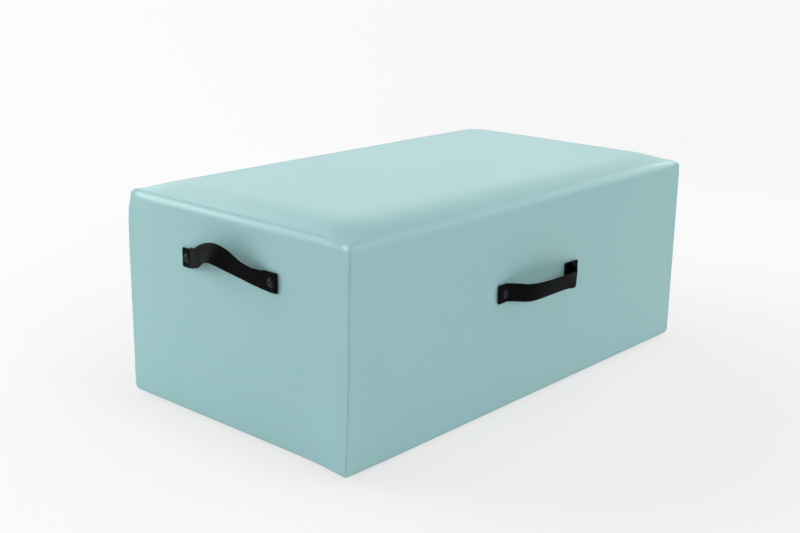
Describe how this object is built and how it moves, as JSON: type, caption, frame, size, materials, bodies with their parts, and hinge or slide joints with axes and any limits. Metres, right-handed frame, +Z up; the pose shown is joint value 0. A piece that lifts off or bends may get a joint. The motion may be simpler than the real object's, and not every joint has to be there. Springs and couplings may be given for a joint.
{
  "type": "pilates sitting box",
  "caption": "Low padded box with a crowned top and square sewn corners, a webbing grab handle on each wall, for sitting, lying and reaching exercises.",
  "frame": {"origin": "on the floor under the middle of the box", "axes": "+X along the long side, +Y along the short side, +Z up; the front wall faces -Y and the left wall faces -X"},
  "size_m": [0.778, 0.4632, 0.2835],
  "materials": {
    "teal_vinyl": "smooth satin upholstery vinyl",
    "foam": "open-cell foam",
    "plywood": "bare birch plywood",
    "pine": "planed pine",
    "dust_cloth": "black dust cloth",
    "black_webbing": "woven webbing with a soft sheen",
    "black_steel": "blackened steel",
    "zinc_steel": "zinc plated"
  },
  "bodies": {
    "root": {"back_board": "plywood", "back_foam": "foam", "back_handle_nut_a": "zinc_steel", "back_handle_nut_b": "zinc_steel", "back_handle_screw_a": "black_steel", "back_handle_screw_b": "black_steel", "back_handle_tab_a": "black_webbing", "back_handle_tab_b": "black_webbing", "back_handle_washer_a": "black_steel", "back_handle_washer_b": "black_steel", "back_left_base_screw": "zinc_steel", "back_left_post": "pine", "back_right_base_screw": "zinc_steel", "back_right_post": "pine", "base_board": "plywood", "centre_rib": "plywood", "cover": "teal_vinyl", "dust_cover": "dust_cloth", "front_board": "plywood", "front_foam": "foam", "front_handle_nut_a": "zinc_steel", "front_handle_nut_b": "zinc_steel", "front_handle_screw_a": "black_steel", "front_handle_screw_b": "black_steel", "front_handle_tab_a": "black_webbing", "front_handle_tab_b": "black_webbing", "front_handle_washer_a": "black_steel", "front_handle_washer_b": "black_steel", "front_left_base_screw": "zinc_steel", "front_left_post": "pine", "front_right_base_screw": "zinc_steel", "front_right_post": "pine", "left_board": "plywood", "left_foam": "foam", "left_handle_nut_a": "zinc_steel", "left_handle_nut_b": "zinc_steel", "left_handle_screw_a": "black_steel", "left_handle_screw_b": "black_steel", "left_handle_tab_a": "black_webbing", "left_handle_tab_b": "black_webbing", "left_handle_washer_a": "black_steel", "left_handle_washer_b": "black_steel", "right_board": "plywood", "right_foam": "foam", "right_handle_nut_a": "zinc_steel", "right_handle_nut_b": "zinc_steel", "right_handle_screw_a": "black_steel", "right_handle_screw_b": "black_steel", "right_handle_tab_a": "black_webbing", "right_handle_tab_b": "black_webbing", "right_handle_washer_a": "black_steel", "right_handle_washer_b": "black_steel", "top_board": "plywood", "top_foam": "foam"},
    "front_handle": {"front_handle_loop": "black_webbing"},
    "back_handle": {"back_handle_loop": "black_webbing"},
    "left_handle": {"left_handle_loop": "black_webbing"},
    "right_handle": {"right_handle_loop": "black_webbing"}
  },
  "joints": [
    {"name": "front_handle_swing", "type": "hinge", "parent": "root", "child": "front_handle", "pos_m": [-0.0038, -0.20101, 0.1605], "axis": [-1, 0, 0], "range_deg": [-40, 50]},
    {"name": "right_handle_swing", "type": "hinge", "parent": "root", "child": "right_handle", "pos_m": [0.35322, 0, 0.2065], "axis": [0, -1, 0], "range_deg": [-85, 5]},
    {"name": "back_handle_swing", "type": "hinge", "parent": "root", "child": "back_handle", "pos_m": [0, 0.20101, 0.1605], "axis": [1, 0, 0], "range_deg": [-40, 50]},
    {"name": "left_handle_swing", "type": "hinge", "parent": "root", "child": "left_handle", "pos_m": [-0.35322, 0, 0.2065], "axis": [0, 1, 0], "range_deg": [-85, 5]}
  ]
}
